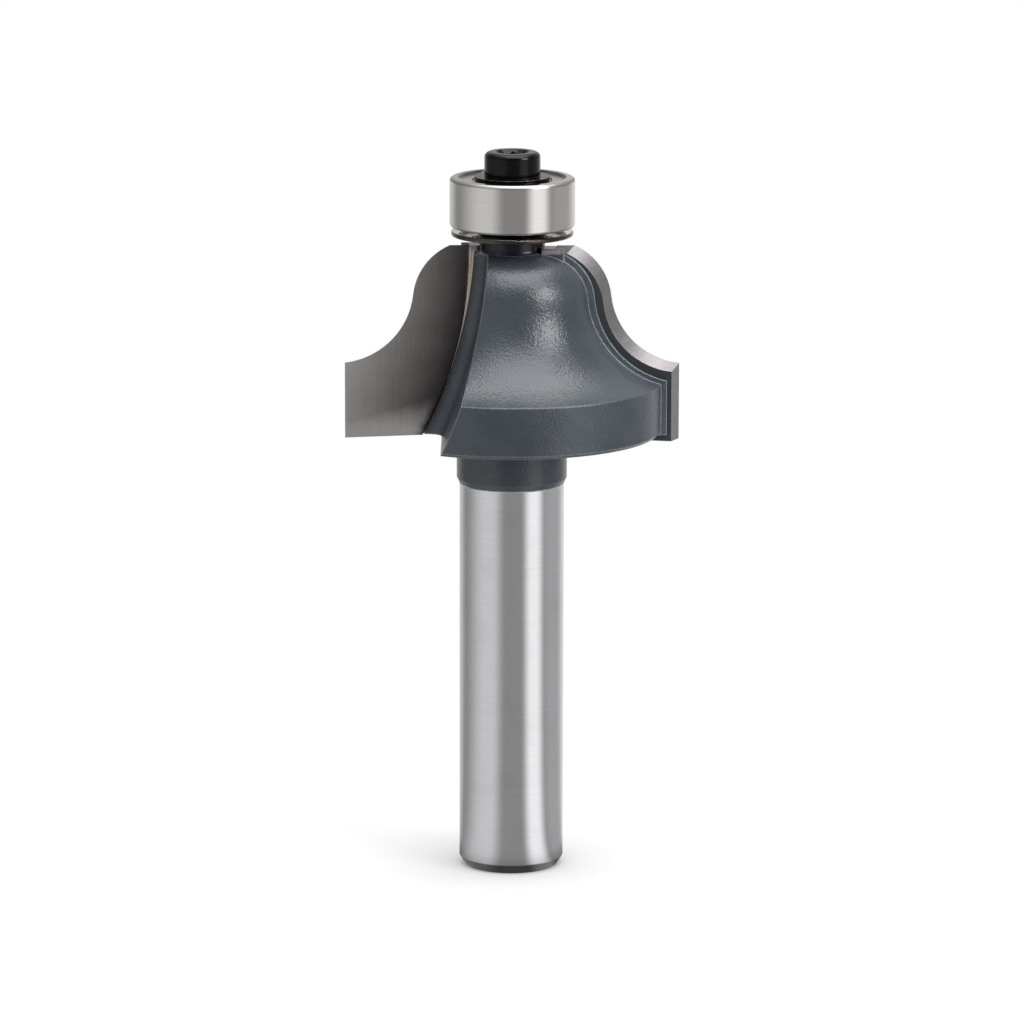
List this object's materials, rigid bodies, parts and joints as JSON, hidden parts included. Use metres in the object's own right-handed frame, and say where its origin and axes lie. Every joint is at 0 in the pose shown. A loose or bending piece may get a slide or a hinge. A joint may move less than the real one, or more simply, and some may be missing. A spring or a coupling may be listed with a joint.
{
  "type": "router bit",
  "caption": "Ogee edge-forming router bit with brazed carbide tips, round clamping shank and a guide bearing held by a cap screw.",
  "frame": {"origin": "centre of the shank's flat end, which the bit stands on", "axes": "+Z along the axis from the shank to the guide bearing; +X through the first carbide tip, whose cutting face looks along +Y"},
  "size_m": [0.0254, 0.0228, 0.0556],
  "materials": {
    "head_and_shank_steel": "blue-grey baked coating with a faint orange peel on the cutter head; the shank below it is bare ground steel",
    "carbide": "ground tungsten carbide, fine grinding lines on the cutting face",
    "silver_solder": "thin brazed seam, dull",
    "dark_washer_steel": "dark polished washer",
    "bearing_steel": "ground and polished ring",
    "shield_steel": "pressed bright sheet",
    "cage_steel": "pressed sheet, oiled",
    "ball_steel": "mirror polished",
    "black_oxide_steel": "black oxide, lightly oiled"
  },
  "bodies": {
    "bit": {"cutter_body": "head_and_shank_steel", "carbide_tip_1": "carbide", "carbide_tip_2": "carbide", "solder_layer_1": "silver_solder", "solder_layer_2": "silver_solder", "guard_washer": "dark_washer_steel", "spacer_ring": "bearing_steel", "bearing_inner_ring": "bearing_steel", "clamp_washer": "black_oxide_steel", "cap_screw": "black_oxide_steel"},
    "bearing_outer": {"bearing_outer_ring": "bearing_steel", "upper_shield": "shield_steel", "lower_shield": "shield_steel"},
    "bearing_cage": {"ball_cage": "cage_steel", "ball_1": "ball_steel", "ball_2": "ball_steel", "ball_3": "ball_steel", "ball_4": "ball_steel", "ball_5": "ball_steel", "ball_6": "ball_steel", "ball_7": "ball_steel", "ball_8": "ball_steel"}
  },
  "joints": [
    {"name": "outer_ring_spin", "type": "hinge", "parent": "bit", "child": "bearing_outer", "pos_m": [0, 0, 0.05176], "axis": [0, 0, 1], "continuous": true},
    {"name": "cage_spin", "type": "hinge", "parent": "bit", "child": "bearing_cage", "pos_m": [0, 0, 0.05176], "axis": [0, 0, 1], "continuous": true}
  ],
  "couplings": [
    {"joint": "cage_spin", "follows": "outer_ring_spin", "ratio": 0.61343}
  ]
}
